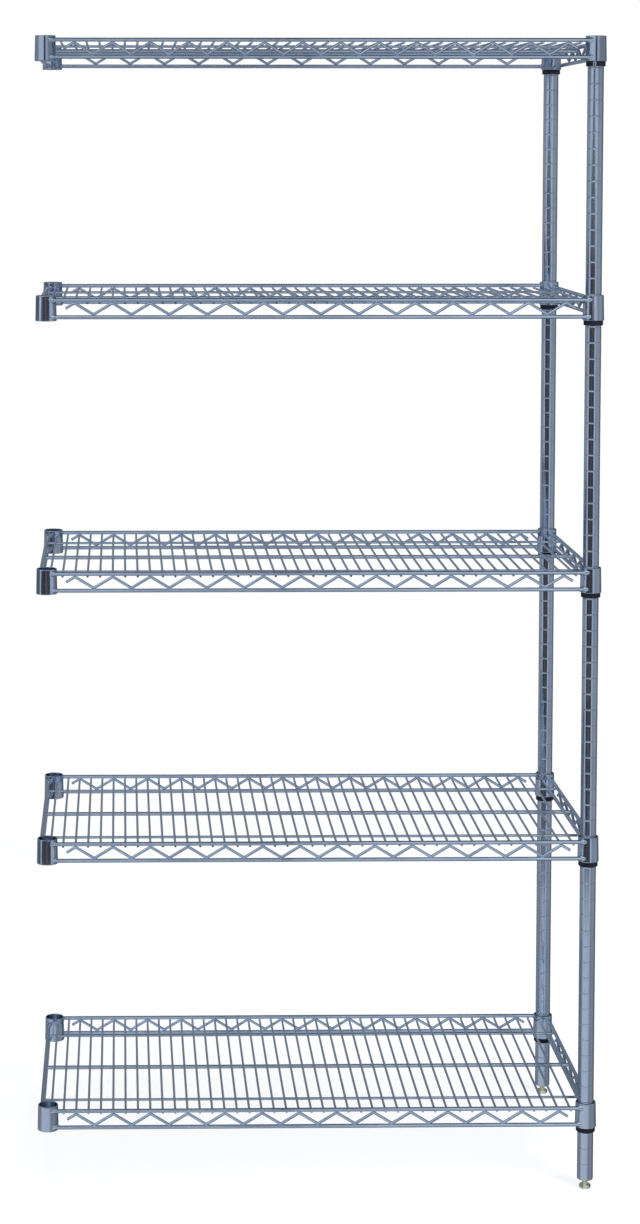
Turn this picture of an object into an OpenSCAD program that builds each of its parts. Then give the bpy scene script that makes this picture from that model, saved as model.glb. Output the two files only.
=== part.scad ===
// Wire shelving rack, add-on unit: five welded wire shelves on two grooved posts at the right-hand end.
// The left-hand collars are empty, because a neighbouring rack holds that end.
// Millimetres, +Z up. The front faces -Y and the posts are at +X.
// The origin is on the floor, under the middle of the rack.

/* [Shelf] */
// Distance between the left and right collar axes
bay_w = 862; // [600:1:1200]
// Distance between the front and rear collar axes
bay_d = 420; // [320:1:600]
// Number of wires that run front to back in a shelf
mat_count = 44; // [32:3:62]
// Diameter of a front-to-back wire
mat_dia = 3.1; // [2.5:0.1:3.6]
// Diameter of a frame rod, and of the middle support rod
rod_dia = 6.35; // [5:0.05:7]
// Diameter of the two outer support rods
support_dia = 4.2; // [3:0.1:5]
// Diameter of a zigzag truss wire
truss_dia = 4.6; // [3.5:0.1:5]
// Height between the upper and lower frame rods
truss_h = 26.6; // [24:0.1:30]

/* [Collar] */
// Height of a corner collar
collar_h = 40; // [38:0.5:46]
// Outer diameter of a collar at its lower end
collar_dia_low = 33.8; // [33.5:0.1:36]
// Outer diameter of a collar at its upper end
collar_dia_high = 32; // [31.6:0.1:33]
// Bore of a collar at its lower end
bore_dia_low = 30.6; // [30:0.1:31]
// Bore of a collar at its upper end
bore_dia_high = 28.2; // [28:0.1:29]

/* [Post] */
// Outer diameter of a post
post_dia = 25.4; // [25:0.1:25.4]
// Length of a post tube
post_len = 1824; // [1816:1:1840]
// Height of the post tube's lower end above the floor
post_lift = 16; // [14:0.5:20]
// Distance between the grooves of a post
groove_pitch = 25.4; // [25:0.1:26]
// Depth of a groove
groove_depth = 0.7; // [0.4:0.1:0.8]

/* [Shelf heights] */
// Groove that holds the bottom shelf, counted up the post
bottom_groove = 4; // [3:1:12]
// Groove that holds the lower shelf
lower_groove = 21; // [16:1:30]
// Groove that holds the middle shelf
middle_groove = 38; // [34:1:46]
// Groove that holds the upper shelf
upper_groove = 55; // [50:1:64]
// Groove that holds the top shelf
top_groove = 71; // [68:1:71]

/* [Hidden] */
$fn = 48;

LEVELS = ["bottom", "lower", "middle", "upper", "top"];
GROOVES = [bottom_groove, lower_groove, middle_groove, upper_groove, top_groove];
SHELF_PARTS = ["mat_wires", "support_rods", "upper_frame", "lower_frame",
               "long_trusses", "side_trusses", "left_collars", "right_collars"];
POSTS = ["front", "rear"];
POST_PARTS = ["post", "post_cap", "foot_insert", "levelling_foot"];

// Each weld sinks one wire this far into the next
weld = 0.25;
eps = 0.01;

mat_r = mat_dia / 2;
rod_r = rod_dia / 2;
support_r = support_dia / 2;
truss_r = truss_dia / 2;

// Heights inside a shelf, measured up from the lower end of its collars.
// The front and rear rods lie on the mat wires, and the mat wires and side rods lie on the support rods.
rod_drop = 7;
upper_z = collar_h - rod_drop;
lower_z = upper_z - truss_h;
mat_z = upper_z - rod_r - mat_r + weld;
support_top = mat_z - mat_r + weld;
side_upper_z = support_top + rod_r - weld;

// Distances of the rods outside the lines that join the collar axes
long_rod_out = 12;
side_rod_out = 10;
long_truss_out = 13.6;
mat_end_out = long_truss_out - truss_r - 0.1;
support_end_out = side_rod_out + 2.5;
support_span = 0.362 * bay_d;

// Mat wires, at a pitch in whole tenths of a millimetre that fills the space between the collar axes
mat_clear = 5;
mat_pitch = floor(10 * (bay_w - 2 * mat_clear) / (mat_count - 1)) / 10;
mat_span = (mat_count - 1) * mat_pitch;

// Zigzags: one peak at every third mat wire
truss_pitch = 3 * mat_pitch;
long_peaks = floor((mat_count - 2) / 3);
side_margin = 70;
side_peaks = 2 * floor((bay_d / 2 - side_margin) / truss_pitch) + 1;
tail_len = 14;

// Posts
post_r = post_dia / 2;
post_bore_r = 11.5;
groove_flat = 1;
groove_mouth = 3;
groove_clear = 8;
post_edge = 0.3;
groove_count = floor((post_len - groove_clear) / groove_pitch);

// Sleeves: the bead inside a sleeve sits in a groove, this far above the lower end of the collar
bead_up = 16;
sleeve_drop = 9;
sleeve_top = collar_h - 5;
sleeve_chamfer = 2.5;
sleeve_gap = 0.05;
sleeve_slit = 4;
bore_slope = (bore_dia_low - bore_dia_high) / 2 / collar_h;

// Levelling feet
head_h = 6;
head_flats = 16.4;
stem_r = 4;
stem_len = 46;
thread_gap = 0.05;
cone_drop = 4.4;
insert_len = 30;

CHROME = [0.62, 0.68, 0.76];
ZINC = [0.80, 0.79, 0.68];
BLACK = [0.08, 0.08, 0.10];
GREY = [0.25, 0.26, 0.28];

function shelf_z(i) = post_lift + groove_pitch * GROOVES[i] - bead_up;

// Radius of a sleeve's outside at a height above the lower end of its collar
function sleeve_r(z) = bore_dia_low / 2 - bore_slope * z - sleeve_gap;

module at_post(side) {
  translate([bay_w / 2, (side == "front" ? -1 : 1) * bay_d / 2, 0]) children();
}

module at_shelf(i) {
  translate([0, 0, shelf_z(i)]) children();
}

// The outside of a collar, solid, used to cope the rods and wires that end on it
module collar_blank() {
  cylinder(h = collar_h, d1 = collar_dia_low, d2 = collar_dia_high);
}

module at_corners(sides = [-1, 1]) {
  for (sx = sides)
    for (sy = [-1, 1])
      translate([sx * bay_w / 2, sy * bay_d / 2, 0]) children();
}

module rod_x(length, r) {
  rotate([0, 90, 0]) cylinder(h = length, r = r, center = true);
}

module rod_y(length, r) {
  rotate([90, 0, 0]) cylinder(h = length, r = r, center = true);
}

// ---------- Shelf ----------

module collars(side) {
  ease = 0.4;
  color(CHROME)
    at_corners([side])
      rotate_extrude()
        polygon([
          [bore_dia_low / 2, 0],
          [collar_dia_low / 2 - ease, 0],
          [collar_dia_low / 2, ease],
          [collar_dia_high / 2, collar_h - ease],
          [collar_dia_high / 2 - ease, collar_h],
          [bore_dia_high / 2, collar_h]
        ]);
}

// Four rods between the collars, with their ends coped to the collars
module frame_rods(long_z, side_z) {
  color(CHROME)
    difference() {
      union() {
        for (s = [-1, 1]) {
          translate([0, s * (bay_d / 2 + long_rod_out), long_z]) rod_x(bay_w, rod_r);
          translate([s * (bay_w / 2 + side_rod_out), 0, side_z]) rod_y(bay_d, rod_r);
        }
      }
      at_corners() collar_blank();
    }
}

// The outermost wires meet the collars; the others run under the front and rear rods
module mat_wires() {
  full = bay_d + 2 * mat_end_out;
  color(CHROME) {
    for (k = [1 : mat_count - 2])
      translate([(k - (mat_count - 1) / 2) * mat_pitch, 0, mat_z]) rod_y(full, mat_r);
    difference() {
      for (s = [-1, 1])
        translate([s * mat_span / 2, 0, mat_z]) rod_y(bay_d, mat_r);
      at_corners() collar_blank();
    }
  }
}

// The middle rod stops at the side trusses; the outer rods lie under the side rods
module support_rods() {
  middle = bay_w + 2 * (side_rod_out - truss_r + weld);
  outer = bay_w + 2 * support_end_out;
  color(CHROME) {
    translate([0, 0, support_top - rod_r]) rod_x(middle, rod_r);
    for (s = [-1, 1])
      translate([0, s * support_span, support_top - support_r]) rod_x(outer, support_r);
  }
}

// One straight leg of a zigzag from a peak at the origin, cut square to the run at both ends
module truss_leg(run, fall, length) {
  slope = atan(fall / run);
  over = 2 * truss_r;
  intersection() {
    translate([0, -truss_dia, -2 * fall]) cube([length, 2 * truss_dia, 4 * fall]);
    rotate([0, 90 + slope, 0])
      translate([0, 0, -over]) cylinder(h = length / cos(slope) + 2 * over, r = truss_r);
  }
}

// A zigzag wire along X with its peaks at height 0, and cut tails at both ends
module truss_wire(peaks, fall) {
  half = truss_pitch / 2;
  first = -(peaks - 1) * half;
  color(CHROME) {
    for (k = [0 : peaks - 2])
      translate([first + k * truss_pitch, 0, 0]) {
        truss_leg(half, fall, half);
        translate([truss_pitch, 0, 0]) mirror([1, 0, 0]) truss_leg(half, fall, half);
      }
    for (s = [0, 1])
      mirror([s, 0, 0])
        translate([-first, 0, 0]) truss_leg(half, fall, tail_len);
  }
}

// How far the corner of a zigzag stays from the centre of the rod that it is welded to
function truss_reach(out) =
  let (lean = cos(atan(truss_h / truss_pitch)))
  sqrt(pow(rod_r + truss_r / lean, 2) - pow(out, 2)) - weld;

module long_trusses() {
  reach = truss_reach(long_truss_out - long_rod_out);
  for (s = [-1, 1])
    translate([0, s * (bay_d / 2 + long_truss_out), upper_z - reach])
      truss_wire(long_peaks, truss_h - 2 * reach);
}

module side_trusses() {
  reach = truss_reach(0);
  for (s = [-1, 1])
    translate([s * (bay_w / 2 + side_rod_out), 0, side_upper_z - reach])
      rotate([0, 0, 90])
        truss_wire(side_peaks, side_upper_z - lower_z - 2 * reach);
}

// ---------- Post ----------

module post() {
  color(CHROME)
    translate([0, 0, post_lift])
      rotate_extrude()
        polygon(concat(
          [[post_bore_r, 0], [post_r - post_edge, 0], [post_r, post_edge]],
          [for (k = [1 : groove_count])
            for (p = [[0, -groove_mouth / 2], [groove_depth, -groove_flat / 2],
                      [groove_depth, groove_flat / 2], [0, groove_mouth / 2]])
              [post_r - p[0], groove_pitch * k + p[1]]],
          [[post_r, post_len - post_edge], [post_r - post_edge, post_len], [post_bore_r, post_len]]
        ));
}

module post_cap() {
  plug_len = 12;
  plug_wall = 2;
  rim_h = 0.8;
  crown_h = 2.2;
  roof = 1.6;
  color(GREY)
    translate([0, 0, post_lift + post_len])
      rotate_extrude()
        polygon([
          [post_bore_r - plug_wall, -plug_len],
          [post_bore_r, -plug_len],
          [post_bore_r, 0],
          [post_r, 0],
          [post_r, rim_h],
          [post_r - rim_h, 2 * rim_h],
          [0, crown_h],
          [0, crown_h - roof],
          [post_bore_r - plug_wall, crown_h - roof]
        ]);
}

// Two half rings that meet left and right of the post, with a bead that clips into a groove
module sleeve() {
  bore = post_r + 0.02;
  bead = 0.55;
  foot_wall = 1.2;
  lip_wall = 0.6;
  lip_h = 0.8;
  color(BLACK)
    for (turn = [0, 180])
      rotate([0, 0, turn + sleeve_slit / 2])
        rotate_extrude(angle = 180 - sleeve_slit)
          polygon([
            [bore, -sleeve_drop],
            [bore + foot_wall, -sleeve_drop],
            [sleeve_r(sleeve_chamfer - sleeve_drop), sleeve_chamfer - sleeve_drop],
            [sleeve_r(sleeve_top), sleeve_top],
            [bore + lip_wall, sleeve_top + lip_h],
            [bore, sleeve_top + lip_h],
            [bore, bead_up + groove_mouth / 2],
            [bore - bead, bead_up + groove_flat / 2],
            [bore - bead, bead_up - groove_flat / 2],
            [bore, bead_up - groove_mouth / 2]
          ]);
}

// ---------- Foot ----------

// A plug with a tapered nose below the tube, and a tapped hole that is drawn plain
module foot_insert() {
  hole = stem_r + thread_gap;
  nose_wall = 1.4;
  shoulder = 0.6;
  shoulder_r = post_r - 0.4;
  lead_in = 1;
  color(ZINC)
    translate([0, 0, post_lift])
      rotate_extrude()
        polygon([
          [hole, -cone_drop],
          [hole + nose_wall, -cone_drop],
          [shoulder_r, -shoulder],
          [shoulder_r, 0],
          [post_bore_r, 0],
          [post_bore_r, insert_len - 2 * lead_in],
          [post_bore_r - lead_in, insert_len],
          [hole, insert_len]
        ]);
}

// A hexagon-headed bolt that stands on its head, with its corners rounded off below
module levelling_foot() {
  flat = head_flats / 2;
  corner = flat / cos(30);
  foot_ease = 1.4;
  foot_ease_h = 2;
  top_ease = 0.6;
  color(ZINC) {
    intersection() {
      cylinder(h = head_h, r = corner, $fn = 6);
      rotate_extrude()
        polygon([
          [0, 0],
          [flat - foot_ease, 0],
          [corner + eps, foot_ease_h],
          [corner + eps, head_h - top_ease],
          [flat, head_h],
          [0, head_h]
        ]);
    }
    translate([0, 0, head_h / 2]) cylinder(h = stem_len + head_h / 2, r = stem_r);
  }
}

// ---------- Nodes ----------

for (i = [0 : len(LEVELS) - 1]) {
  shelf = str(LEVELS[i], "_shelf_");
  at_shelf(i) mat_wires();
  at_shelf(i) support_rods();
  at_shelf(i) frame_rods(upper_z, side_upper_z);
  at_shelf(i) frame_rods(lower_z, lower_z);
  at_shelf(i) long_trusses();
  at_shelf(i) side_trusses();
  at_shelf(i) collars(-1);
  at_shelf(i) collars(1);
  for (side = POSTS)
    at_post(side) at_shelf(i) sleeve();
}

for (side = POSTS) {
  at_post(side) post();
  at_post(side) post_cap();
  at_post(side) foot_insert();
  at_post(side) levelling_foot();
}
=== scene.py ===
"""Finished look of the wire shelving rack: each CAD node is replaced by one finer piece on the same body.

Sizes are in millimetres, and add_piece() turns them into Blender's metres.
+Z is up, the front faces -Y, and the posts stand at +X.
"""

import math

import bmesh
import bpy
import numpy as np
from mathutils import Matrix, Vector


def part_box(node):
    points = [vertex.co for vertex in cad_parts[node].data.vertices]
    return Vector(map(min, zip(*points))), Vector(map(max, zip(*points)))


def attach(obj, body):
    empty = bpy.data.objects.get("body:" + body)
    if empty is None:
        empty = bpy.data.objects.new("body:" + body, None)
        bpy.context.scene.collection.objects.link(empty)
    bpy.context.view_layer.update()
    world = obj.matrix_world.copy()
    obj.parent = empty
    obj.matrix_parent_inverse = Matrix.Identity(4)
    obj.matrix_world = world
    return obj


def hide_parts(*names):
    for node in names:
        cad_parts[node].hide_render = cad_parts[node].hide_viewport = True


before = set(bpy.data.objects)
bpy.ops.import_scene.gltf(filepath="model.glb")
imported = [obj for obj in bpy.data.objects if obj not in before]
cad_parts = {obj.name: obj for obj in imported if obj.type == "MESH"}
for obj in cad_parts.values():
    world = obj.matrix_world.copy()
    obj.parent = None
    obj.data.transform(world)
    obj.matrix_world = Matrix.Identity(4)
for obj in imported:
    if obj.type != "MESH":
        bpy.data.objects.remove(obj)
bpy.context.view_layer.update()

# ---------- Sizes of the frame ----------

MM = 0.001  # one millimetre in metres
LEVELS = ["bottom", "lower", "middle", "upper", "top"]
POSTS = {"front": -1, "rear": 1}
WELD = 0.25  # how far welded parts reach into each other

# A collar's outside and its bore have a radius at the lower end and one at the upper end
COLLAR_H = 40.0
COLLAR_R = (16.9, 16.0)
COLLAR_BORE = (15.3, 14.1)
ROD_R = 3.175
MAT_R = 1.55
MAT_DRAWN_R = 1.85  # drawn thicker than the CAD's wire of radius MAT_R, as photographed
SUPPORT_R = 2.1
TRUSS_R = 2.3

POST_R = 12.7
POST_BORE = 11.5
GROOVE_PITCH = 25.4
GROOVE_DEPTH = 0.38
GROOVE_MOUTH = 2.0
GROOVE_FLAT = 0.5


def node_box(node):
    """The lowest and highest corner of a CAD node, in millimetres."""
    return [np.array(corner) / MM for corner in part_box(node)]


def middle_of(node):
    """The middle of a CAD node, to a hundredth of a millimetre."""
    lo, hi = node_box(node)
    return np.round((lo + hi) / 2, 2)


POST_X, FRONT_Y = middle_of("front_post")[:2]
POST_LOW, POST_HIGH = (corner[2] for corner in node_box("front_post"))
HALF_W, HALF_D = POST_X, -FRONT_Y

# Heights inside a shelf, up from the lower end of its collars, and distances outside the collar axes
UPPER_Z = COLLAR_H - 7
LOWER_Z = UPPER_Z - 26.6
MAT_Z = UPPER_Z - ROD_R - MAT_R + WELD
SUPPORT_TOP = MAT_Z - MAT_R + WELD
SIDE_UPPER_Z = SUPPORT_TOP + ROD_R - WELD
LONG_OUT = 12.0
SIDE_OUT = 10.0
LONG_TRUSS_OUT = 13.6

MAT_COUNT = 44
MAT_PITCH = 19.8
MAT_END = HALF_D + LONG_TRUSS_OUT - TRUSS_R - 0.1
SUPPORT_Y = 0.724 * HALF_D
TRUSS_PITCH = 3 * MAT_PITCH
LONG_PEAKS = 14
SIDE_PEAKS = 5

# ---------- Mesh building ----------

GRAIN_STRETCH = 0.03  # shrinks the grain's length along a bar, so that noise on it makes long lines
CREASE = 38  # faces that meet at more than this many degrees shade as an edge


class Shell:
    """One closed skin.

    grain says where each point lies on its bar or tube. The last argument is 1 on a weld and -1 in a
    bore, for its painted shade.
    """

    def __init__(self, points, faces, grain, heat):
        self.points = np.asarray(points, float).reshape(-1, 3)
        self.faces = faces
        self.grain = np.asarray(grain, float).reshape(-1, 3)
        self.heat = np.broadcast_to(np.asarray(heat, float), len(self.points))


def unit(v):
    """Vectors of the same direction with length 1."""
    return v / np.linalg.norm(v, axis=-1, keepdims=True)


def turn(count):
    """Angles of count points round a full turn."""
    return np.arange(count) * 2 * math.pi / count


def grid_faces(rows, cols, closed_rows=False):
    """Quads over rows of points. Each row closes on itself."""
    row, col = np.meshgrid(np.arange(rows if closed_rows else rows - 1), np.arange(cols), indexing="ij")
    below, beside = (row + 1) % rows, (col + 1) % cols
    corners = [row * cols + col, row * cols + beside, below * cols + beside, below * cols + col]
    return np.stack(corners, -1).reshape(-1, 4).tolist()


def skin(rings, grain, heat=0.0):
    """A closed tube over rings of points, with a flat face at each end."""
    rows, cols = rings.shape[:2]
    first, last = list(range(cols)), list(range((rows - 1) * cols, rows * cols))
    faces = grid_faces(rows, cols) + [first[::-1], last]
    return Shell(rings, faces, grain, np.repeat(np.broadcast_to(heat, rows), cols))


def wire(path, radii, across, sides=16):
    """A round wire along a flat path. across is the unit vector square to the path's plane."""
    path, radii = np.asarray(path, float), np.asarray(radii, float)
    steps = unit(np.diff(path, axis=0))
    ahead = unit(np.vstack([steps[:1], steps[:-1] + steps[1:], steps[-1:]]))
    up = np.cross(ahead, across)
    c, s = np.cos(turn(sides)), np.sin(turn(sides))
    spokes = c[None, :, None] * np.asarray(across, float) + s[None, :, None] * up[:, None, :]
    along = np.concatenate([[0], np.cumsum(np.linalg.norm(np.diff(path, axis=0), axis=1))])
    grain = np.stack(
        [np.outer(radii, c), np.outer(radii, s), np.repeat(along[:, None] * GRAIN_STRETCH, sides, 1)], -1
    )
    return skin(path[:, None, :] + radii[:, None, None] * spokes, grain)


def eased(path, radius, tip):
    """A wire's path and radii with both ends eased, and a ring behind each end for straight shading."""
    path = np.asarray(path, float)
    start, end = unit(path[1] - path[0]), unit(path[-2] - path[-1])
    head = [path[0] + start * gap for gap in (0, tip, 3 * tip)]
    tail = [path[-1] + end * gap for gap in (3 * tip, tip, 0)]
    path = np.vstack([head, path[1:-1], tail])
    radii = np.full(len(path), radius)
    radii[[0, -1]] -= tip
    return path, radii


def bar(start, end, radius, across, tip=0.35, sides=16):
    """A straight wire with both ends eased."""
    path, radii = eased([start, end], radius, tip)
    return wire(path, radii, across, sides)


def collar_face(offset, height):
    """How far a collar's outside stands from its axis, at a sideways offset and a height."""
    radius = COLLAR_R[0] + (COLLAR_R[1] - COLLAR_R[0]) * height / COLLAR_H
    return np.sqrt(radius**2 - offset**2)


def coped_bar(axis, out, height, radius, bead=1.6, sides=20):
    """A bar between two collars, along axis 0 or 1, with both ends shaped and welded to the collars.

    out is the bar's place on the other level axis, and height is its own. bead is how thick the weld is.
    """
    along_half, beside_half = (HALF_W, HALF_D) if axis == 0 else (HALF_D, HALF_W)
    collar = math.copysign(beside_half, out)
    lumps, margin, hot = 0.1, 0.5, 1.4
    # Each ring's distance from the collar, and its share of the weld's thickness
    swell = [(-0.4, 0.9), (0.5, 1.0), (1.4, 0.97), (2.4, 0.8)]
    swell += [(3.2, 0.5), (3.8, 0.18), (4.3, 0.0), (9.0, 0.0)]
    gaps, shares = np.array(swell).T[:, :, None]
    angle = turn(sides)[None, :]
    lumpy = 1 + lumps * np.sin(3 * angle + out + height)
    outward = np.cos(angle) * math.copysign(1, out - collar) > 0
    room = max(0.0, min(bead, COLLAR_R[1] - margin - abs(out - collar) - radius))
    beside = out + (radius + np.where(outward, room, bead) * shares * lumpy) * np.cos(angle)
    up = height + (radius + bead * shares * lumpy) * np.sin(angle)
    reach = along_half - collar_face(beside - collar, up) - gaps
    rings = np.zeros((2 * len(swell), sides, 3))
    rings[..., axis] = np.vstack([-reach, reach[::-1]])
    rings[..., 1 - axis] = np.vstack([beside, beside[::-1]])
    rings[..., 2] = np.vstack([up, up[::-1]])
    grain = rings * 1.0
    grain[..., axis] *= GRAIN_STRETCH
    heat = [min(1.0, hot * share) for _, share in swell]
    return skin(rings, grain, heat + heat[::-1])


def rounded(outline, closed=True, steps=4):
    """An outline with its corners as arcs. Each of its points is (x, y, corner radius)."""
    spots = [np.array(point[:2], float) for point in outline]
    made = []
    for i, (here, radius) in enumerate(zip(spots, [point[2] for point in outline])):
        if radius == 0 or (not closed and i in (0, len(spots) - 1)):
            made.append(here)
            continue
        back, on = unit(spots[i - 1] - here), unit(spots[(i + 1) % len(spots)] - here)
        half = math.acos(max(-1.0, min(1.0, float(back @ on)))) / 2
        centre = here + unit(back + on) * radius / math.sin(half)
        from_centre = here + back * radius / math.tan(half) - centre
        to_centre = here + on * radius / math.tan(half) - centre
        arc = math.pi - 2 * half
        for k in range(steps + 1):
            a, b = math.sin((1 - k / steps) * arc), math.sin(k / steps * arc)
            made.append(centre + (a * from_centre + b * to_centre) / math.sin(arc))
    return np.array(made)


def held(outline, gap=0.5):
    """A closed outline with points near both ends of its long sides, so that these shade straight."""
    made = []
    for here, there in zip(outline, np.roll(outline, -1, axis=0)):
        made.append(here)
        length = np.linalg.norm(there - here)
        if length > 5 * gap:
            made += [here + (there - here) * share for share in (gap / length, 1 - gap / length)]
    return np.array(made)


def lathe(outline, segments=72, start=0.0, sweep=360.0):
    """A closed outline of (radius, height) turned about the z axis. A part turn gets flat ends."""
    outline = held(outline)
    whole = sweep == 360.0
    rows = segments if whole else segments + 1
    angle = np.radians(start + sweep * np.arange(rows) / segments)
    radius, height = outline[:, 0], outline[:, 1]
    points = np.stack(
        [np.outer(np.cos(angle), radius), np.outer(np.sin(angle), radius), np.tile(height, (rows, 1))], -1
    )
    cols = len(outline)
    faces = grid_faces(rows, cols, closed_rows=whole)
    if not whole:
        faces += [list(range(cols)), list(range((rows - 1) * cols, rows * cols))[::-1]]
    on_axis = {row * cols + col: col for col in np.flatnonzero(radius == 0) for row in range(rows)}
    if on_axis:
        faces = [list(dict.fromkeys(on_axis.get(i, i) for i in face)) for face in faces]
        faces = [face for face in faces if len(face) > 2]
    grain = points * np.array([1, 1, GRAIN_STRETCH])
    return Shell(points, faces, grain, 0.0)


def bead(centre, half, sides=10, rows=6):
    """A small round weld bead. Its ends along z lie inside the wires that it joins."""
    polar = np.radians(np.linspace(18, 162, rows))[:, None]
    angle = turn(sides)[None, :]
    ball = np.stack(
        [np.sin(polar) * np.cos(angle), np.sin(polar) * np.sin(angle), np.cos(polar) + 0 * angle], -1
    )
    points = np.asarray(centre, float) + ball * np.asarray(half, float)
    return skin(points, points, 1.0)


def moved(shells, offset):
    """Copies of the shells, moved by offset."""
    return [Shell(s.points + offset, s.faces, s.grain + offset, s.heat) for s in shells]


def add_piece(node, body, material, shells):
    """One finished piece that stands for a CAD node."""
    counts = [0, *np.cumsum([len(s.points) for s in shells])]
    faces = [[i + first for i in face] for first, s in zip(counts, shells) for face in s.faces]
    mesh = bpy.data.meshes.new(node + "_finished")
    mesh.from_pydata(np.vstack([s.points for s in shells]) * MM, [], faces)
    shape = bmesh.new()
    shape.from_mesh(mesh)
    loose = [v for v in shape.verts if not v.link_faces]
    grain = np.vstack([s.grain for s in shells]) * MM
    heat = np.concatenate([s.heat for s in shells])
    if loose:
        kept = [v.index for v in shape.verts if v.link_faces]
        grain, heat = grain[kept], heat[kept]
        bmesh.ops.delete(shape, geom=loose, context="VERTS")
    bmesh.ops.recalc_face_normals(shape, faces=shape.faces)
    shape.to_mesh(mesh)
    shape.free()
    for name, kind, field, values in (
        ("grain", "FLOAT_VECTOR", "vector", grain),
        ("heat", "FLOAT", "value", heat),
    ):
        attribute = mesh.attributes.new(name, kind, "POINT")
        attribute.data.foreach_set(field, values.astype(np.float32).ravel())
    mesh.shade_smooth()
    mesh.set_sharp_from_angle(angle=math.radians(CREASE))
    mesh.materials.append(material)
    piece = bpy.data.objects.new(mesh.name, mesh)
    bpy.context.scene.collection.objects.link(piece)
    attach(piece, body)
    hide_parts(node)


# ---------- Materials ----------


def node_of(tree, kind, inputs=None, **settings):
    """One shader node. Each input is a value, or another node's output to link."""
    made = tree.nodes.new("ShaderNode" + kind)
    for key, value in settings.items():
        setattr(made, key, value)
    for key, value in (inputs or {}).items():
        if isinstance(value, bpy.types.NodeSocket):
            tree.links.new(value, made.inputs[key])
        else:
            made.inputs[key].default_value = value
    return made


def noise(tree, where, scale, detail=2.0):
    """A noise pattern from 0 to 1."""
    return node_of(tree, "TexNoise", {"Vector": where, "Scale": scale, "Detail": detail}).outputs["Fac"]


def spread(tree, value, low, high, lowest=0.3, highest=0.7):
    """A pattern's values from lowest to highest, turned into low to high."""
    limits = {"Value": value, "From Min": lowest, "From Max": highest, "To Min": low, "To Max": high}
    return node_of(tree, "MapRange", limits).outputs["Result"]


def ramp(tree, value, stops):
    """Colours along a pattern's values. Each stop is (value, colour)."""
    made = node_of(tree, "ValToRGB", {"Fac": value})
    stock = made.color_ramp.elements
    while len(stock) < len(stops):
        stock.new(1.0)
    for element, (position, colour) in zip(stock, stops):
        element.position = position
        element.color = (*colour, 1)
    return made.outputs["Color"]


def mixed(tree, share, plain, other):
    """Two colours, by a share."""
    made = node_of(tree, "Mix", data_type="RGBA")
    for place, value in ((0, share), (6, plain), (7, other)):
        if isinstance(value, bpy.types.NodeSocket):
            tree.links.new(value, made.inputs[place])
        else:
            made.inputs[place].default_value = (*value, 1)
    return made.outputs[2]


def calculated(tree, operation, first, second):
    """One operation on two numbers or patterns."""
    return node_of(tree, "Math", {0: first, 1: second}, operation=operation).outputs[0]


def new_material(name):
    """A material with an empty Principled surface, its node tree and that node."""
    material = bpy.data.materials.new(name)
    material.use_nodes = True
    tree = material.node_tree
    tree.nodes.clear()
    surface = node_of(tree, "BsdfPrincipled")
    node_of(tree, "OutputMaterial", {"Surface": surface.outputs["BSDF"]})
    return material, tree, surface


def relief(tree, height, depth):
    """A bump from a pattern, depth metres from its lowest to its highest."""
    return node_of(tree, "Bump", {"Height": height, "Strength": 1.0, "Distance": depth}).outputs["Normal"]


def chrome(name, pale, deep, smooth=0.08, dull=0.2, peel_depth=0.00002):
    """Plated steel with a cloudy blue tint, drawn lines along each bar, small pits and orange peel.

    Its welds are greyer and duller, and its bores are painted a dark brown that stands in for the shade
    inside them.
    """
    material, tree, surface = new_material(name)
    place = node_of(tree, "TexCoord").outputs["Object"]
    grain = node_of(tree, "Attribute", attribute_name="grain").outputs["Vector"]
    heat = node_of(tree, "Attribute", attribute_name="heat").outputs["Fac"]
    cloud = noise(tree, place, 16, 3)
    lines = noise(tree, grain, 1500, 3)
    peel = noise(tree, place, 700, 1)
    specks = noise(tree, place, 2600, 2)
    tint = ramp(tree, cloud, [(0.32, deep), (0.68, pale)])
    streaked = mixed(tree, spread(tree, lines, 0.0, 0.35), tint, deep)
    pitted = mixed(tree, spread(tree, specks, 0.0, 0.5, 0.66, 0.78), streaked, (0.09, 0.10, 0.13))
    burnt = mixed(tree, calculated(tree, "MULTIPLY", heat, 0.5), pitted, (0.66, 0.69, 0.74))
    # Painted shade: the bores are painted dark brown in place of the shade inside them
    whole = mixed(tree, calculated(tree, "MULTIPLY", heat, -1.0), burnt, (0.20, 0.16, 0.13))
    polish = spread(tree, lines, smooth, dull)
    uneven = calculated(tree, "ADD", polish, spread(tree, cloud, -0.02, 0.03))
    rough = calculated(tree, "MULTIPLY", calculated(tree, "ABSOLUTE", heat, 0.0), 0.14)
    heated = calculated(tree, "ADD", uneven, rough)
    bumps = calculated(tree, "ADD", calculated(tree, "MULTIPLY", lines, 0.5), peel)
    tree.links.new(whole, surface.inputs["Base Color"])
    tree.links.new(heated, surface.inputs["Roughness"])
    tree.links.new(relief(tree, bumps, peel_depth), surface.inputs["Normal"])
    surface.inputs["Metallic"].default_value = 1.0
    return material


def zinc():
    """Passivated zinc plate: pale yellow with greenish and rosy patches, and a fine turned grain."""
    material, tree, surface = new_material("zinc")
    place = node_of(tree, "TexCoord").outputs["Object"]
    grain = node_of(tree, "Attribute", attribute_name="grain").outputs["Vector"]
    patches = noise(tree, place, 130, 3)
    lines = noise(tree, grain, 1800, 3)
    colours = [
        (0.30, (0.80, 0.82, 0.62)),
        (0.48, (0.97, 0.93, 0.70)),
        (0.62, (0.98, 0.90, 0.66)),
        (0.75, (0.90, 0.85, 0.74)),
    ]
    tree.links.new(ramp(tree, patches, colours), surface.inputs["Base Color"])
    tree.links.new(spread(tree, lines, 0.1, 0.24), surface.inputs["Roughness"])
    tree.links.new(relief(tree, lines, 0.00003), surface.inputs["Normal"])
    surface.inputs["Metallic"].default_value = 1.0
    return material


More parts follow.
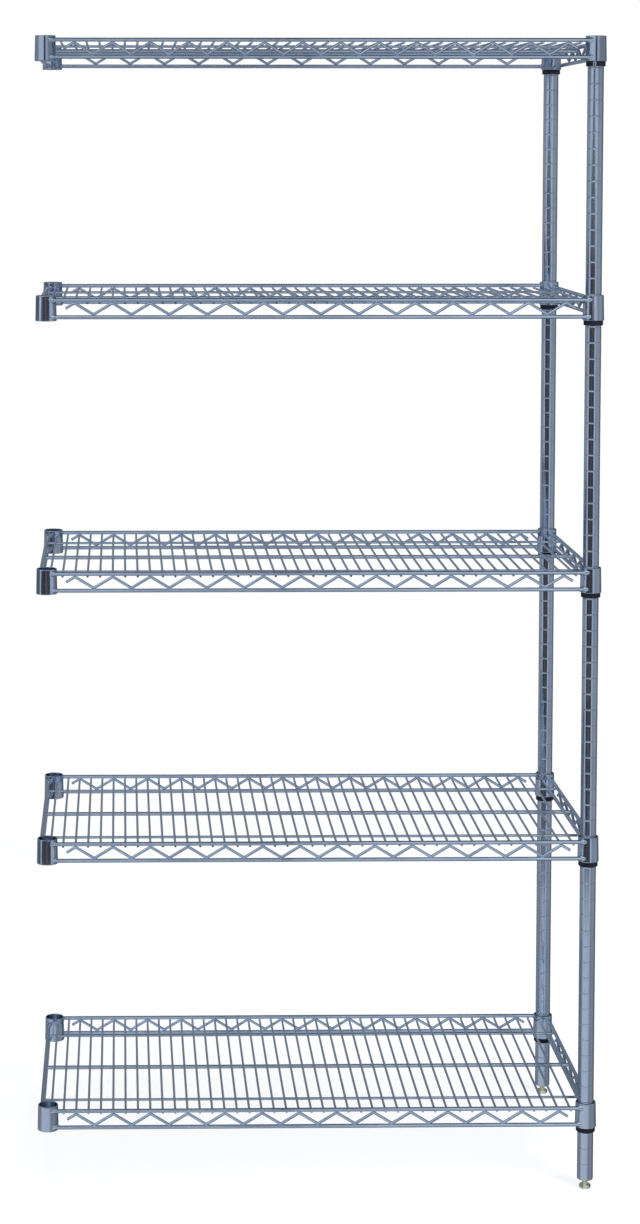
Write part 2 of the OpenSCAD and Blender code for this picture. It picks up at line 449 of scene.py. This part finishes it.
def plastic(name, dark, light):
    """Moulded plastic: a fine eggshell grain, slow changes of shade and rubbed, shinier places."""
    material, tree, surface = new_material(name)
    place = node_of(tree, "TexCoord").outputs["Object"]
    shade = noise(tree, place, 90, 3)
    rub = noise(tree, place, 240, 2)
    grains = noise(tree, place, 3200, 2)
    tree.links.new(ramp(tree, shade, [(0.35, dark), (0.7, light)]), surface.inputs["Base Color"])
    tree.links.new(spread(tree, rub, 0.32, 0.55), surface.inputs["Roughness"])
    tree.links.new(relief(tree, grains, 0.00005), surface.inputs["Normal"])
    surface.inputs["Specular IOR Level"].default_value = 0.22
    return material


# ---------- Shelf pieces, about the shelf's middle and up from its collars' lower ends ----------

ALONG_X = np.array([1.0, 0, 0])
ALONG_Y = np.array([0, 1.0, 0])


def uneven(k, most):
    """A small repeatable difference from wire to wire, from 0 to most."""
    golden = 0.618034
    return most * ((k * golden) % 1)


def mat_places():
    """Where the mat wires lie across the shelf."""
    return [(k - (MAT_COUNT - 1) / 2) * MAT_PITCH for k in range(MAT_COUNT)]


def mat_wires():
    """The front-to-back wires and the weld beads under and over them."""
    ragged, end_bead, cross_bead = 0.5, (2.2, 1.6, 1.3), (1.9, 2.3, 0.9)
    shells = []
    for k, x in enumerate(mat_places()):
        if k in (0, MAT_COUNT - 1):
            shells.append(coped_bar(1, x, MAT_Z, MAT_DRAWN_R, bead=0.8, sides=16))
        else:
            front, rear = MAT_END - uneven(k, ragged), MAT_END - uneven(k + 9, ragged)
            shells.append(bar((x, -front, MAT_Z), (x, rear, MAT_Z), MAT_DRAWN_R, ALONG_X))
            for s in (-1, 1):
                shells.append(bead((x, s * (MAT_END - end_bead[1]), MAT_Z + MAT_R), end_bead))
        for y in (-SUPPORT_Y, 0, SUPPORT_Y):
            shells.append(bead((x, y, SUPPORT_TOP), cross_bead))
    return shells


def support_rods():
    """The middle rod that butts on the side trusses, and the two outer rods under the side rods."""
    overhang = 2.5
    middle = HALF_W + SIDE_OUT - TRUSS_R + WELD
    outer = HALF_W + SIDE_OUT + overhang
    rows = [(0, middle, ROD_R), (-SUPPORT_Y, outer, SUPPORT_R), (SUPPORT_Y, outer, SUPPORT_R)]
    return [
        bar((-half, y, SUPPORT_TOP - r), (half, y, SUPPORT_TOP - r), r, ALONG_Y, tip=0.5, sides=20)
        for y, half, r in rows
    ]


def frame_rods(long_z, side_z):
    """Four rods between the collars."""
    shells = []
    for s in (-1, 1):
        shells.append(coped_bar(0, s * (HALF_D + LONG_OUT), long_z, ROD_R))
        shells.append(coped_bar(1, s * (HALF_W + SIDE_OUT), side_z, ROD_R))
    return shells


def zigzag(peaks, high, low, bend=4.2, tail=14.0):
    """A truss wire's centre line as (along, height), whose rounded corners touch high and low in turn."""
    half = TRUSS_PITCH / 2
    lift = 0.0
    for _ in range(4):
        slope = math.atan((high - low + 2 * lift) / half)
        lift = bend * (1 / math.cos(slope) - 1)
    end = (peaks - 1) * half
    drop = tail * math.tan(slope)
    corners = [(-end - tail, high + lift - drop, 0)]
    for k in range(2 * peaks - 1):
        corners.append((-end + k * half, high + lift if k % 2 == 0 else low - lift, bend))
    corners.append((end + tail, high + lift - drop, 0))
    return rounded(corners, closed=False, steps=6)


def truss(axis, out, upper_out, upper_z, peaks):
    """One zigzag wire along axis 0 or 1, with a bead on each corner.

    out is the place of its plane, and upper_out is how far the rods' axes lie from that plane.
    """
    gap = math.sqrt((ROD_R + TRUSS_R) ** 2 - upper_out**2) - WELD
    high, low = upper_z - gap, LOWER_Z + gap
    line = zigzag(peaks, high, low)
    path = np.zeros((len(line), 3))
    path[:, axis], path[:, 1 - axis], path[:, 2] = line[:, 0], out, line[:, 1]
    path, radii = eased(path, TRUSS_R, 0.4)
    shells = [wire(path, radii, ALONG_Y if axis == 0 else ALONG_X)]
    toward = -math.copysign(upper_out / 2, out)
    for k in range(2 * peaks - 1):
        spot = np.zeros(3)
        spot[axis] = (k - (peaks - 1)) * TRUSS_PITCH / 2
        spot[1 - axis] = out + toward
        spot[2] = high + TRUSS_R - WELD / 2 if k % 2 == 0 else low - TRUSS_R + WELD / 2
        size = np.array([3.4, 3.4, 1.0])
        size[1 - axis] = 1.7
        shells.append(bead(spot, size))
    return shells


def long_trusses():
    """The front and rear trusses, just outside the rods."""
    out = HALF_D + LONG_TRUSS_OUT
    past = LONG_TRUSS_OUT - LONG_OUT
    return [shell for s in (-1, 1) for shell in truss(0, s * out, past, UPPER_Z, LONG_PEAKS)]


def side_trusses():
    """The two end trusses, in the same plane as their rods."""
    out = HALF_W + SIDE_OUT
    return [shell for s in (-1, 1) for shell in truss(1, s * out, 0.0, SIDE_UPPER_Z, SIDE_PEAKS)]


def collars(side):
    """Two tapered collars with rolled rims."""
    outline = rounded(
        [
            (COLLAR_BORE[0], 0, 0.5),
            (COLLAR_R[0], 0, 0.7),
            (COLLAR_R[1], COLLAR_H, 0.8),
            (COLLAR_BORE[1], COLLAR_H, 0.8),
        ]
    )
    turned = lathe(outline, segments=96)
    # Painted shade: the bore below its upper rim is painted dark brown in place of the shade inside the
    # collar
    bore = np.hypot(*turned.points[:, :2].T) < (COLLAR_BORE[0] + COLLAR_R[0]) / 2 - 0.4
    turned.heat = np.where(bore & (turned.points[:, 2] < COLLAR_H - 0.6), -1.0, 0.0)
    return [shell for s in (-1, 1) for shell in moved([turned], np.array([side * HALF_W, s * HALF_D, 0]))]


# ---------- Post pieces, about the post's axis and up from the floor ----------


def post():
    """A tube with a ring groove every inch."""
    edge, inner_edge, clear = 0.5, 0.3, 8
    outline = [(POST_BORE, POST_LOW, inner_edge), (POST_R, POST_LOW, edge)]
    count = int((POST_HIGH - POST_LOW - clear) // GROOVE_PITCH)
    for k in range(1, count + 1):
        z = POST_LOW + GROOVE_PITCH * k
        for inward, up, soft in (
            (0, -GROOVE_MOUTH / 2, 0.4),
            (GROOVE_DEPTH, -GROOVE_FLAT / 2, 0.3),
            (GROOVE_DEPTH, GROOVE_FLAT / 2, 0.3),
            (0, GROOVE_MOUTH / 2, 0.4),
        ):
            outline.append((POST_R - inward, z + up, soft))
    outline += [(POST_R, POST_HIGH, edge), (POST_BORE, POST_HIGH, inner_edge)]
    return [lathe(rounded(outline, steps=2), segments=56)]


def post_cap():
    """A low domed cap with a hollow plug."""
    wall, rim, crown, plug, thick = POST_BORE - 2, 0.8, 2.2, 12, 1.6
    outline = [
        (wall, -plug, 0.3),
        (POST_BORE, -plug, 0.6),
        (POST_BORE, 0, 0),
        (POST_R, 0, 0.2),
        (POST_R, rim, 0.6),
        (POST_R - rim, 2 * rim, 1.0),
        (0, crown, 0),
        (0, crown - thick, 0),
        (wall, crown - thick, 0),
    ]
    return moved([lathe(rounded(outline), segments=72)], np.array([0, 0, POST_HIGH]))


def sleeve(facing=0, slit=4):
    """Two half rings that show as a ring below the collar, and a bead inside that clips into a groove.

    facing is the bearing of one slit and slit its width, both in degrees round the post.
    """
    bore, drop, top, lip = POST_R + 0.02, 7.7, 35, 0.6
    groove_z, groove_half, inward = 16, 1.5, 0.55

    def cone(z):
        """The sleeve's outer radius, just inside the collar's bore."""
        return COLLAR_BORE[0] - (COLLAR_BORE[0] - COLLAR_BORE[1]) * z / COLLAR_H - 0.05

    outline = rounded(
        [
            (bore, -drop, 0.2),
            (cone(-4) - 0.5, -drop, 0.5),
            (cone(-4), 0.9 - drop, 0.5),
            (cone(-0.5), -0.5, 0),
            (cone(top), top, 0.4),
            (bore + lip, top + 0.8, 0.2),
            (bore, top + 0.8, 0.2),
            (bore, groove_z + groove_half, 0),
            (bore - inward, groove_z + 0.5, 0.2),
            (bore - inward, groove_z - 0.5, 0.2),
            (bore, groove_z - groove_half, 0),
        ]
    )
    return [
        lathe(outline, segments=44, start=facing + half + slit / 2, sweep=180 - slit) for half in (0, 180)
    ]


def foot_insert():
    """The plug in the tube's end, with its tapered nose below the tube."""
    hole, nose, wall, shoulder, length, lead = 4.05, 4.4, 1.4, POST_R - 0.4, 30, 2
    outline = rounded(
        [
            (hole, -nose, 0.3),
            (hole + wall, -nose, 0.5),
            (shoulder, -0.6, 0.5),
            (shoulder, 0, 0),
            (POST_BORE, 0, 0),
            (POST_BORE, length - lead, 0.4),
            (POST_BORE - lead / 2, length, 0.4),
            (hole, length, 0.3),
        ]
    )
    return moved([lathe(outline, segments=72)], np.array([0, 0, POST_LOW]))


def levelling_foot():
    """A bolt that stands on its hexagon head, with its corners rounded off, and a rolled thread above."""
    segments, flat, head = 96, 8.2, 6.0
    angle = turn(segments)
    hexagon = flat / np.cos(np.radians(30) - np.mod(angle, math.radians(60)))
    corner = flat / math.cos(math.radians(30))
    # Heights up the head, and how far its rings reach there at most
    rims = [(0.0, 5.6), (0.0, 6.6), (0.2, 7.4), (0.7, 8.3), (1.4, 9.0), (2.2, corner)]
    rims += [(head - 0.7, corner), (head - 0.3, 8.9), (head, flat)]
    rims += [(head, 4.6), (head + 0.03, 4.25), (head + 0.08, 4.05)]
    rings = [np.minimum(hexagon, limit) for _, limit in rims]
    heights = [z for z, _ in rims]
    radius, depth, pitch, first, last = 4.0, 0.55, 1.25, 7.6, 52.0
    for z in np.arange(first, last, pitch / 8):
        phase = np.mod(z / pitch - angle / (2 * math.pi), 1)
        tooth = np.clip(1.5 * np.abs(2 * phase - 1) - 0.2, 0, 1)
        fade = min(1.0, (z - first) / pitch, (last - z) / pitch)
        rings.append(radius - depth * tooth * fade)
        heights.append(z)
    rings.append(np.full(segments, radius - 0.8))
    heights.append(last)
    radii = np.array(rings)
    up = np.tile(np.array(heights)[:, None], segments)
    points = np.stack([radii * np.cos(angle), radii * np.sin(angle), up], -1)
    return [skin(points, points * np.array([1, 1, GRAIN_STRETCH]))]


# ---------- Assembly ----------

WIRE_CHROME = chrome("wire_chrome", (0.73, 0.82, 0.94), (0.58, 0.67, 0.79))
# Painted light: the mat wires' chrome is a paler copy of the wire chrome, so that they read brighter
MAT_CHROME = chrome("mat_chrome", (0.78, 0.88, 1.0), (0.64, 0.73, 0.86))
COLLAR_CHROME = chrome("collar_chrome", (0.60, 0.66, 0.76), (0.50, 0.56, 0.66), 0.05, 0.14, 0.00001)
POST_CHROME = chrome("post_chrome", (0.60, 0.66, 0.76), (0.50, 0.56, 0.66), 0.05, 0.14, 0.000008)
ZINC = zinc()
SLEEVE_PLASTIC = plastic("sleeve_plastic", (0.004, 0.004, 0.008), (0.012, 0.012, 0.02))
CAP_PLASTIC = plastic("cap_plastic", (0.03, 0.032, 0.038), (0.055, 0.058, 0.066))

SHELF_PARTS = {
    "mat_wires": ("chrome_wire", MAT_CHROME, mat_wires()),
    "support_rods": ("chrome_wire", WIRE_CHROME, support_rods()),
    "upper_frame": ("chrome_wire", WIRE_CHROME, frame_rods(UPPER_Z, SIDE_UPPER_Z)),
    "lower_frame": ("chrome_wire", WIRE_CHROME, frame_rods(LOWER_Z, LOWER_Z)),
    "long_trusses": ("chrome_wire", WIRE_CHROME, long_trusses()),
    "side_trusses": ("chrome_wire", WIRE_CHROME, side_trusses()),
    "left_collars": ("chrome_collar", COLLAR_CHROME, collars(-1)),
    "right_collars": ("chrome_collar", COLLAR_CHROME, collars(1)),
}
POST_PARTS = {
    "post": ("frame", "chrome_post", POST_CHROME, post()),
    "post_cap": ("frame", "cap_plastic", CAP_PLASTIC, post_cap()),
    "foot_insert": ("frame", "zinc", ZINC, foot_insert()),
    "levelling_foot": ("foot", "zinc", ZINC, levelling_foot()),
}
SLEEVE = sleeve()
OPEN_SLEEVE = sleeve(facing=-110, slit=24)

for level in LEVELS:
    height = node_box(f"{level}_shelf_left_collars")[0][2]
    for part, (slot, material, shells) in SHELF_PARTS.items():
        at_shelf = np.array([0, 0, height])
        add_piece(f"{level}_shelf_{part}", f"{level}_shelf", material, moved(shells, at_shelf))
    for name, side in POSTS.items():
        at_sleeve = np.array([HALF_W, side * HALF_D, height])
        halves = OPEN_SLEEVE if (level, name) == ("top", "front") else SLEEVE
        at_place = moved(halves, at_sleeve)
        add_piece(f"{level}_{name}_sleeve", "frame", SLEEVE_PLASTIC, at_place)

for name, side in POSTS.items():
    at_post = np.array([HALF_W, side * HALF_D, 0])
    for part, (body, slot, material, shells) in POST_PARTS.items():
        body_name = f"{name}_foot" if body == "foot" else body
        add_piece(f"{name}_{part}", body_name, material, moved(shells, at_post))

# ---------- Studio: camera, floor, lights and reflected cards ----------


def add_camera():
    """A long lens between the two highest shelves, left of the middle, and shifted to frame the rack."""
    data = bpy.data.cameras.new("camera")
    data.lens = 75.9
    data.shift_x, data.shift_y = 0.13, -0.25
    camera = bpy.data.objects.new("camera", data)
    camera.location = (-0.315, -4.257, 1.66)
    camera.rotation_euler = (math.radians(90 - 3.39), 0, math.radians(-0.912))
    bpy.context.scene.collection.objects.link(camera)
    bpy.context.scene.camera = camera


def add_floor():
    """A pale floor with soft shadows, which fades into the white beyond it."""
    material, tree, surface = new_material("floor")
    place = node_of(tree, "TexCoord").outputs["Object"]
    distance = node_of(tree, "VectorMath", {0: place}, operation="LENGTH").outputs["Value"]
    pale = ramp(tree, noise(tree, place, 3), [(0.3, (0.86, 0.86, 0.87)), (0.7, (0.9, 0.9, 0.9))])
    tree.links.new(pale, surface.inputs["Base Color"])
    surface.inputs["Roughness"].default_value = 0.9
    surface.inputs["Specular IOR Level"].default_value = 0.1
    white = node_of(tree, "Emission", {"Color": (1, 1, 1, 1), "Strength": 1.0}).outputs[0]
    share = spread(tree, distance, 0.8, 1.0, 0.9, 2.4)
    both = node_of(tree, "MixShader", {0: share, 1: surface.outputs["BSDF"], 2: white})
    output = next(n for n in tree.nodes if n.type == "OUTPUT_MATERIAL")
    tree.links.new(both.outputs[0], output.inputs["Surface"])
    reach, sides = 30.0, 64
    mesh = bpy.data.meshes.new("floor")
    rim = [(reach * math.cos(a), reach * math.sin(a), 0) for a in turn(sides)]
    mesh.from_pydata(rim, [], [list(range(sides))])
    mesh.materials.append(material)
    floor = bpy.data.objects.new("floor", mesh)
    floor.visible_glossy = False
    bpy.context.scene.collection.objects.link(floor)


def by_angle(tree, angle, whole, stops):
    """Colours along an angle in radians. Each stop is (degrees, colour), from -whole/2 to whole/2."""
    share = calculated(tree, "ADD", calculated(tree, "DIVIDE", angle, math.radians(whole)), 0.5)
    return ramp(tree, share, [(degrees / whole + 0.5, colour) for degrees, colour in stops])


def times(tree, first, second):
    """Two colours multiplied."""
    made = node_of(tree, "Mix", data_type="RGBA", blend_type="MULTIPLY")
    made.inputs[0].default_value = 1.0
    tree.links.new(first, made.inputs[6])
    tree.links.new(second, made.inputs[7])
    return made.outputs[2]


# The room's brightness by bearing and by rise, in degrees. Bearing 0 is in front and 90 beyond the posts.
WALLS = [
    (-180, 0.32),
    (-168, 0.3),
    (-158, 0.16),
    (-142, 0.3),
    (-127, 0.5),
    (-108, 0.38),
    (-91, 0.46),
    (-77, 0.62),
    (-68, 0.94),
    (-50, 0.94),
    (0, 0.92),
    (10, 0.86),
    (19, 0.7),
    (31, 0.54),
    (38, 0.44),
    (43, 0.34),
    (50, 0.45),
    (71, 0.48),
    (87, 0.46),
    (98, 0.38),
    (106, 0.3),
    (125, 0.16),
    (150, 0.18),
    (168, 0.3),
    (180, 0.32),
]
HEIGHTS = [
    (-90, 0.22),
    (-65, 0.42),
    (-45, 0.74),
    (-19, 0.82),
    (-16.5, 0.86),
    (-15.5, 1.0),
    (0, 1.0),
    (4, 0.82),
    (11, 0.82),
    (15, 1.0),
    (50, 0.95),
    (64, 0.32),
    (90, 0.1),
]
ROOM_TINT = (0.78, 0.87, 1.0)


def add_world():
    """White behind the rack, and a room with dark flags that only its reflections show."""
    world = bpy.data.worlds.new("studio")
    bpy.context.scene.world = world
    world.use_nodes = True
    tree = world.node_tree
    tree.nodes.clear()
    way = node_of(tree, "TexCoord").outputs["Generated"]
    x, y, z = node_of(tree, "SeparateXYZ", {"Vector": way}).outputs
    bearing = calculated(tree, "ARCTAN2", x, calculated(tree, "MULTIPLY", y, -1.0))
    rise = node_of(tree, "Math", {0: z}, operation="ARCSINE").outputs[0]
    white, black = (1, 1, 1), (0, 0, 0)
    walls = [(degrees, tuple(share * level for share in ROOM_TINT)) for degrees, level in WALLS]
    heights = [(degrees, (level, level, level)) for degrees, level in HEIGHTS]
    room = times(tree, by_angle(tree, bearing, 360, walls), by_angle(tree, rise, 180, heights))
    dark, brown = (0.055, 0.06, 0.075), (0.14, 0.12, 0.12)
    flag = by_angle(tree, bearing, 360, [(-34, dark), (-29, brown), (-24, brown), (-18, dark)])
    # Flags: where each fades in and out by bearing and by rise, and its colour
    shades = [
        ((-68, -65, 9, 13), (-16.2, -15.4, -2.0, -1.4), flag),
        ((-68, -62, -5, 1), (-2.0, -1.4, -0.3, 0.5), flag),
        ((-44, -38, -19, -14), (-0.3, 0.5, 2.2, 3), flag),
        ((-18, -14, 3, 9), (2.6, 3.6, 9, 14), (0.05, 0.055, 0.07)),
        ((36, 42, 112, 126), (2.6, 3.6, 9, 14), (0.25, 0.28, 0.33)),
    ]
    fades = (black, white, white, black)
    for bearings, rises, colour in shades:
        across = by_angle(tree, bearing, 360, list(zip(bearings, fades)))
        upward = by_angle(tree, rise, 180, list(zip(rises, fades)))
        room = mixed(tree, times(tree, across, upward), room, colour)
    # A narrow dark strip overhead, from front to back
    gap = ramp(tree, x, [(0.04, black), (0.048, white), (0.066, white), (0.08, black)])
    over = by_angle(tree, rise, 180, [(4, black), (12, white)])
    room = mixed(tree, times(tree, gap, over), room, (0.03, 0.035, 0.045))
    # The room is dark high up behind the rack
    behind = by_angle(tree, bearing, 360, [(-140, white), (-110, black), (100, black), (130, white)])
    above = by_angle(tree, rise, 180, [(15, black), (32, white)])
    shaded = mixed(tree, times(tree, behind, above), room, (0.085, 0.098, 0.115))
    seen = node_of(tree, "LightPath").outputs["Is Camera Ray"]
    inside = node_of(tree, "Background", {"Color": shaded, "Strength": 1.0}).outputs[0]
    beyond = node_of(tree, "Background", {"Color": (1, 1, 1, 1), "Strength": 1.0}).outputs[0]
    both = node_of(tree, "MixShader", {0: seen, 1: inside, 2: beyond})
    node_of(tree, "OutputWorld", {"Surface": both.outputs[0]})


def card_material(name, colour, stripe=None):
    """An even glow for a reflected card, with a stripe of another colour past its middle."""
    material = bpy.data.materials.new(name)
    material.use_nodes = True
    tree = material.node_tree
    tree.nodes.clear()
    glow = node_of(tree, "Emission", {"Color": (*colour, 1), "Strength": 1.0})
    if stripe:
        place = node_of(tree, "TexCoord").outputs["Generated"]
        across = node_of(tree, "SeparateXYZ", {"Vector": place}).outputs["X"]
        stops = [(0.3, colour), (0.4, stripe), (0.48, stripe), (0.58, colour)]
        tree.links.new(ramp(tree, across, stops), glow.inputs["Color"])
    node_of(tree, "OutputMaterial", {"Surface": glow.outputs[0]})
    return material


def add_card(name, start, end, low, high, material):
    """An upright card between two places (x, y), from low to high, that only reflections see."""
    mesh = bpy.data.meshes.new(name)
    corners = [(*start, low), (*end, low), (*end, high), (*start, high)]
    mesh.from_pydata(np.array(corners) * MM, [], [(0, 1, 2, 3)])
    mesh.materials.append(material)
    card = bpy.data.objects.new(name, mesh)
    card.visible_camera = card.visible_shadow = card.visible_diffuse = False
    bpy.context.scene.collection.objects.link(card)


def spot_ahead(bearing, away):
    """The place (x, y) at a bearing from the left front collar, on a plane this far in front of it."""
    return -HALF_W + away * math.tan(math.radians(bearing)), -HALF_D - away


def spot_beside(bearing, away):
    """The place (x, y) at a bearing from the left front collar, on a plane this far to its right."""
    return -HALF_W + away, -HALF_D - away / math.tan(math.radians(bearing))


def add_cards():
    """Cards below three shelves, which their left collars reflect as a dark stripe between light lines.

    A dark card above the top shelf darkens the upper sides of its rods.
    """
    stripe = card_material("stripe_card", (0.05, 0.052, 0.065), (0.16, 0.13, 0.125))
    light = card_material("light_card", (0.74, 0.82, 0.94))
    side = card_material("side_card", (0.5, 0.57, 0.66))
    edge = card_material("edge_card", (0.12, 0.13, 0.16))
    lid = card_material("lid_card", (0.05, 0.055, 0.07))
    above, before, lid_tall = POST_HIGH + 220, -HALF_D - 300, 300
    add_card("lid_card", (-2 * HALF_W, before), (2 * HALF_W, before), above, above + lid_tall, lid)
    camera = np.array(bpy.context.scene.camera.location) / MM
    away, aside, tall = 700.0, 300.0, 110.0
    far, near, side_tall = 1.1 * away, 1.3 * aside, 0.8 * tall
    # Each card's two ends, its distance from the collar, its height and its material
    cards = [
        ("stripe", spot_ahead(-36, away), spot_ahead(37, away), far, tall, stripe),
        ("light", spot_ahead(-73, away), spot_ahead(-56, away), far, tall, light),
        ("edge", spot_beside(-79, -away), spot_beside(-140, -away), far, tall, edge),
        ("side", spot_beside(76, aside), spot_beside(42, aside), near, side_tall, side),
    ]
    taper = math.atan((COLLAR_R[0] - COLLAR_R[1]) / COLLAR_H)
    for level in ("lower", "middle", "upper"):
        collar = node_box(f"{level}_shelf_left_collars")[0][2] + COLLAR_H / 2
        sight = math.atan((camera[2] - collar) / (-HALF_D - camera[1]))
        for name, start, end, reach, height, material in cards:
            middle = collar - reach * math.tan(sight - 2 * taper)
            low, high = middle - height / 2, middle + height / 2
            add_card(f"{level}_{name}_card", start, end, low, high, material)


def add_softbox(name, location, size, power):
    """A large square lamp, left out of the reflections, that points at the middle of the rack."""
    data = bpy.data.lights.new(name, "AREA")
    data.shape = "SQUARE"
    data.size = size
    data.energy = power
    lamp = bpy.data.objects.new(name, data)
    lamp.location = location
    aim = Vector((0, 0, 0.9)) - Vector(location)
    lamp.rotation_euler = aim.to_track_quat("-Z", "Y").to_euler()
    lamp.visible_glossy = False
    bpy.context.scene.collection.objects.link(lamp)


add_camera()
add_world()
add_floor()
add_cards()
add_softbox("overhead", (0.2, -0.6, 4.0), 2.6, 210)
add_softbox("key", (2.6, -3.4, 3.2), 1.8, 170)
bpy.context.scene.view_settings.view_transform = "Standard"
